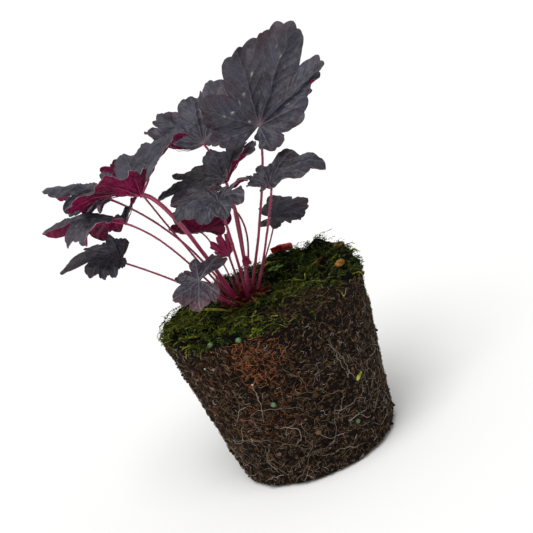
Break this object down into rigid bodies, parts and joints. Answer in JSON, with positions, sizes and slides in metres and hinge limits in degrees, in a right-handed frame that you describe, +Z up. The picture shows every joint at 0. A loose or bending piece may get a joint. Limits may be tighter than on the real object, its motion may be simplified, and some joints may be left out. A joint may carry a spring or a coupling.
{
  "type": "heuchera plant",
  "caption": "Heuchera with ruffled, lobed dark purple leaves on thin petioles, standing on its bare moss-topped root ball, as lifted from its pot.",
  "frame": {"origin": "middle of the root ball's flat foot, on the surface that it stands on", "axes": "+Z up, +X to the right and -Y towards the viewer of the picture, so the front of the rosette faces -Y"},
  "size_m": [0.1762, 0.121, 0.2349],
  "materials": {
    "root_ball": "rough dark compost bound by pale fine roots",
    "moss": "matt tufted moss",
    "crown": "dull red-brown leaf bases and sheaths",
    "leaf": "satin dark grey-purple above, magenta below",
    "young_leaf": "satin magenta",
    "straw": "dry straw",
    "bark": "dry brown bark and leaf scrap",
    "old_leaf": "thin translucent red withered leaf"
  },
  "bodies": {
    "root": {"root_ball": "root_ball", "moss_mat": "moss", "crown": "crown", "leaf_top": "leaf", "leaf_back_left": "leaf", "leaf_centre_high": "leaf", "leaf_centre_low": "leaf", "leaf_right": "leaf", "leaf_right_small": "leaf", "leaf_left_cupped": "leaf", "leaf_left_high": "leaf", "leaf_left_middle": "leaf", "leaf_left_low": "leaf", "leaf_front_low": "leaf", "leaf_back_inner": "leaf", "leaf_back_middle": "leaf", "leaf_left_small": "leaf", "leaf_young": "young_leaf", "leaf_bud": "young_leaf", "dry_stalk": "straw", "yellow_leaf_scrap": "straw", "green_leaf_scrap": "straw", "wood_chip": "bark", "bark_flake": "bark", "dry_leaf_scrap": "bark", "old_leaf_red": "old_leaf"}
  },
  "joints": []
}
